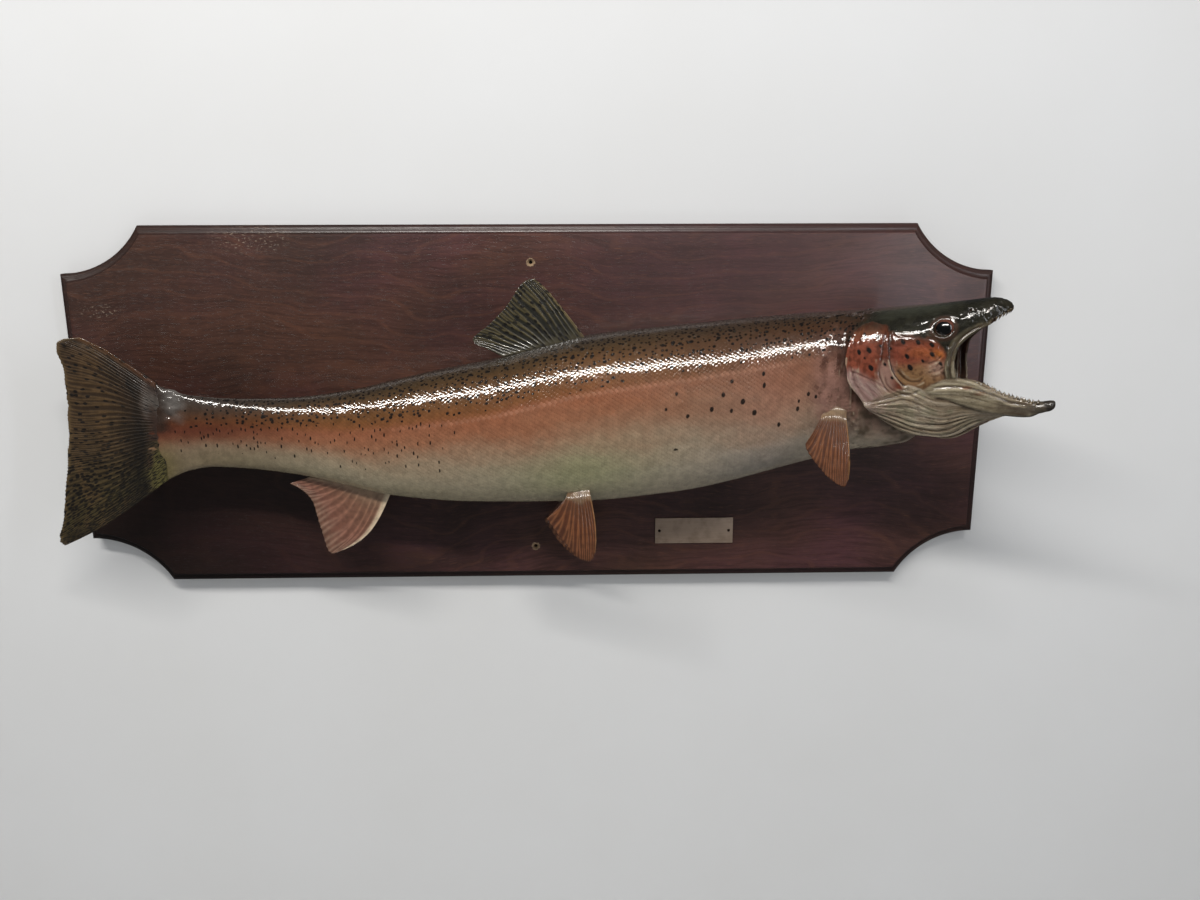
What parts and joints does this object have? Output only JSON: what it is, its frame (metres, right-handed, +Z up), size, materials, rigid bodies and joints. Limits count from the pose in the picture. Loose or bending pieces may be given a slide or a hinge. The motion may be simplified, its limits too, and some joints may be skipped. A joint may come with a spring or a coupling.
{
  "type": "mounted trout",
  "caption": "Life-size male trout with a hooked lower jaw and open mouth, mounted on a dark wooden wall plaque with a blank name plate.",
  "frame": {"origin": "centre of the plaque's flat back, on the wall plane", "axes": "+Z up; +Y into the wall, so -Y faces the viewer; +X along the plaque from the tail to the head"},
  "size_m": [0.84, 0.1698, 0.332],
  "materials": {
    "plaque_wood": "dark stained and lacquered hardwood, satin",
    "plate_metal": "dulled name plate, blank",
    "pin_metal": "darkened small pins",
    "body_skin": "painted fish skin under clear gloss lacquer",
    "head_skin": "painted head skin under clear gloss lacquer",
    "cheek_skin": "red painted gill covers under clear gloss lacquer",
    "jaw_skin": "cream painted jaw and membranes under clear gloss lacquer",
    "mouth_skin": "painted mouth lining, satin",
    "fin_skin": "painted dried fins under clear gloss lacquer",
    "eye_glass": "polished glass eye with painted back",
    "kype_skin": "blackened hooked jaw tip, glossy"
  },
  "bodies": {
    "root": {"plaque": "plaque_wood", "name_plate": "plate_metal", "plate_pin_left": "pin_metal", "plate_pin_right": "pin_metal", "tail_stalk": "body_skin", "trunk_rear": "body_skin", "trunk_middle": "body_skin", "trunk_front": "body_skin", "head": "head_skin", "eye_near": "eye_glass", "eye_far": "eye_glass", "cheek_near": "cheek_skin", "cheek_far": "cheek_skin", "lip_near": "jaw_skin", "lip_far": "jaw_skin", "gill_cover_near": "cheek_skin", "gill_cover_far": "cheek_skin", "gill_membrane_near": "jaw_skin", "gill_membrane_far": "jaw_skin", "isthmus": "mouth_skin", "lower_jaw": "jaw_skin", "kype": "kype_skin", "tongue": "mouth_skin", "tail_fin": "fin_skin", "dorsal_fin": "fin_skin", "anal_fin": "fin_skin", "pelvic_fin_near": "fin_skin", "pelvic_fin_far": "fin_skin", "pectoral_fin_near": "fin_skin", "pectoral_fin_far": "fin_skin"}
  },
  "joints": []
}
